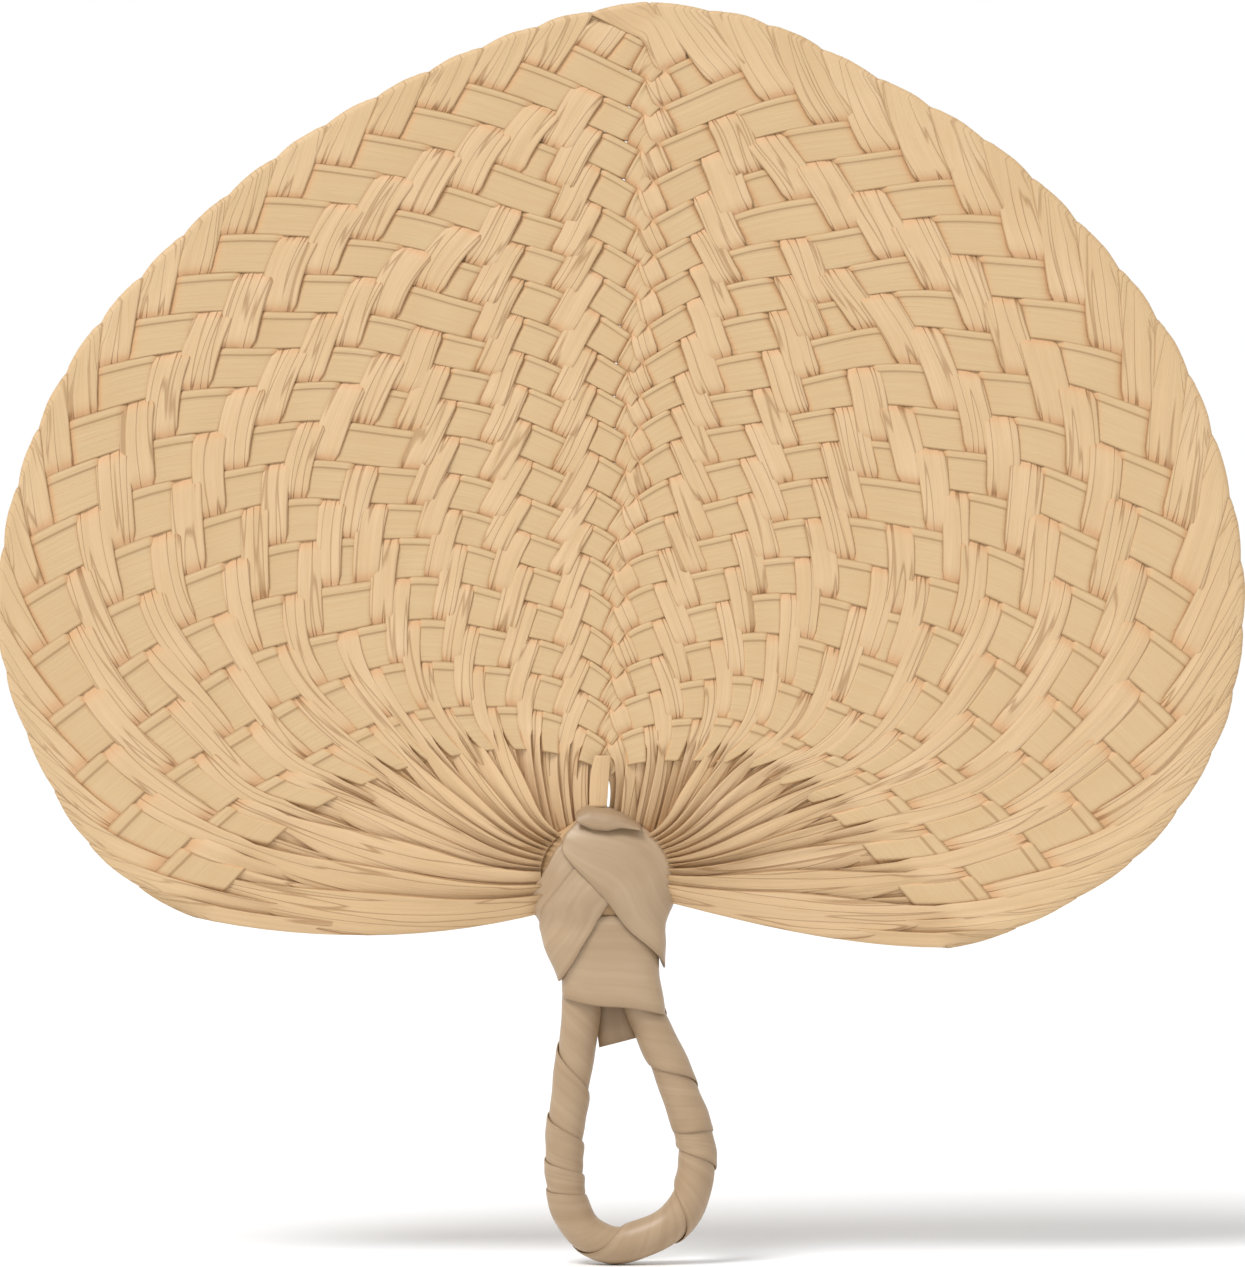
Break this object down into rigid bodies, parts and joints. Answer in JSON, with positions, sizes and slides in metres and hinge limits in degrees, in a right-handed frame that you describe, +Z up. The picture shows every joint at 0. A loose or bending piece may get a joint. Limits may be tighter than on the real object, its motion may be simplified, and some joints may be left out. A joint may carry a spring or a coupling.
{
  "type": "woven hand fan",
  "caption": "Heart-shaped hand fan woven from dried cattail leaf strips in pointed twill, gathered into a tape-bound neck with a tape-wound finger loop.",
  "frame": {"origin": "middle of the neck, where the hand closes on it", "axes": "+Z up from the loop to the tip of the blade, -Y out of the front of the blade, +X to the right seen from the front"},
  "size_m": [0.3501, 0.0236, 0.3553],
  "materials": {
    "dried_leaf": "dry leaf with a faint sheen",
    "leaf_bundle": "matte",
    "cane": "matte",
    "tape": "satin",
    "dark_tape": "satin"
  },
  "bodies": {
    "root": {"left_strip_01": "dried_leaf", "right_strip_01": "dried_leaf", "left_strip_02": "dried_leaf", "right_strip_02": "dried_leaf", "left_strip_03": "dried_leaf", "right_strip_03": "dried_leaf", "left_strip_04": "dried_leaf", "right_strip_04": "dried_leaf", "left_strip_05": "dried_leaf", "right_strip_05": "dried_leaf", "left_strip_06": "dried_leaf", "right_strip_06": "dried_leaf", "left_strip_07": "dried_leaf", "right_strip_07": "dried_leaf", "left_strip_08": "dried_leaf", "right_strip_08": "dried_leaf", "left_strip_09": "dried_leaf", "right_strip_09": "dried_leaf", "left_strip_10": "dried_leaf", "right_strip_10": "dried_leaf", "left_strip_11": "dried_leaf", "right_strip_11": "dried_leaf", "left_strip_12": "dried_leaf", "right_strip_12": "dried_leaf", "left_strip_13": "dried_leaf", "right_strip_13": "dried_leaf", "left_strip_14": "dried_leaf", "right_strip_14": "dried_leaf", "left_strip_15": "dried_leaf", "right_strip_15": "dried_leaf", "left_strip_16": "dried_leaf", "right_strip_16": "dried_leaf", "left_strip_17": "dried_leaf", "right_strip_17": "dried_leaf", "left_strip_18": "dried_leaf", "right_strip_18": "dried_leaf", "left_strip_19": "dried_leaf", "right_strip_19": "dried_leaf", "left_strip_20": "dried_leaf", "right_strip_20": "dried_leaf", "left_strip_21": "dried_leaf", "right_strip_21": "dried_leaf", "left_strip_22": "dried_leaf", "right_strip_22": "dried_leaf", "centre_strip": "dried_leaf", "neck_core": "leaf_bundle", "loop_core": "cane", "loop_tape": "tape", "neck_wrap_lower": "tape", "neck_wrap_left": "tape", "neck_wrap_right": "tape", "neck_cap": "dark_tape", "tape_tail": "dark_tape"}
  },
  "joints": []
}
